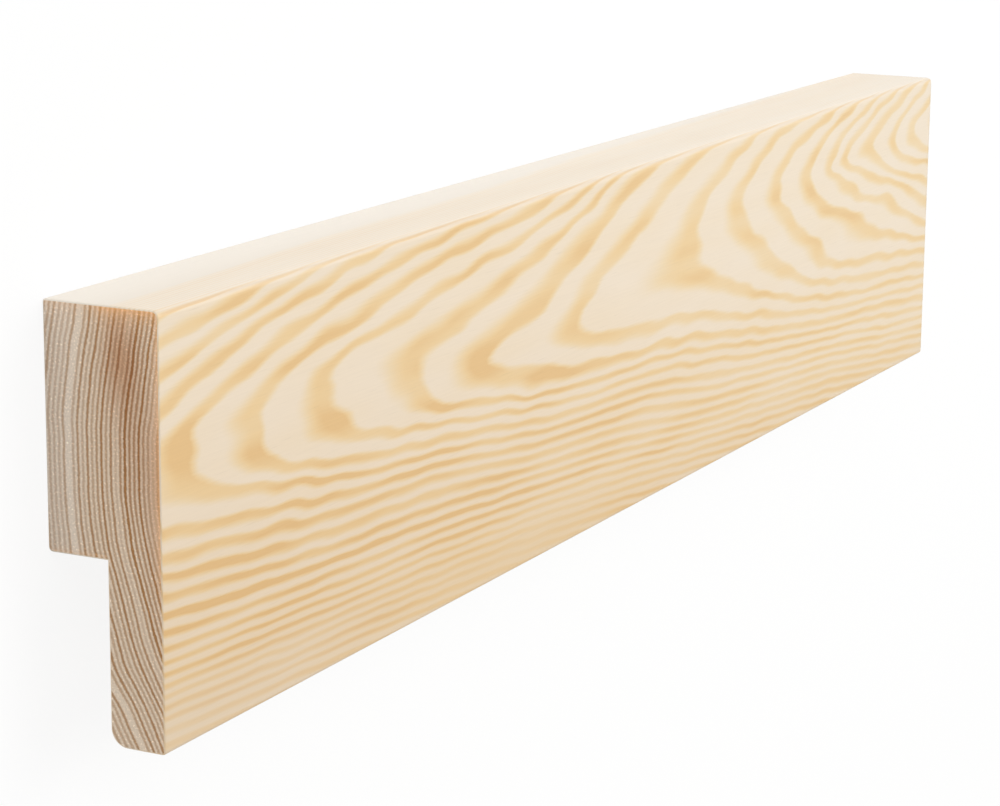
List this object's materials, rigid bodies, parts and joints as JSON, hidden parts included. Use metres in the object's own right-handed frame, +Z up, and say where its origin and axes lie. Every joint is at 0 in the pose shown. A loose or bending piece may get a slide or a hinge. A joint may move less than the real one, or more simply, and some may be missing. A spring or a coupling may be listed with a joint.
{
  "type": "rebated timber board",
  "caption": "Short length of planed pine board with a rebate along the back of one edge, which leaves a tongue that laps over a frame or sheet.",
  "frame": {"origin": "middle of the board's footprint box, on the surface it lies on", "axes": "+X along the board, +Y across its width from the tongue to the thick edge, +Z up through the thickness to the face"},
  "size_m": [0.35, 0.07, 0.021],
  "materials": {
    "pine": "planed softwood, unfinished, with flat-sawn grain on the face and fine growth rings on the ends"
  },
  "bodies": {
    "root": {"plank": "pine"}
  },
  "joints": []
}
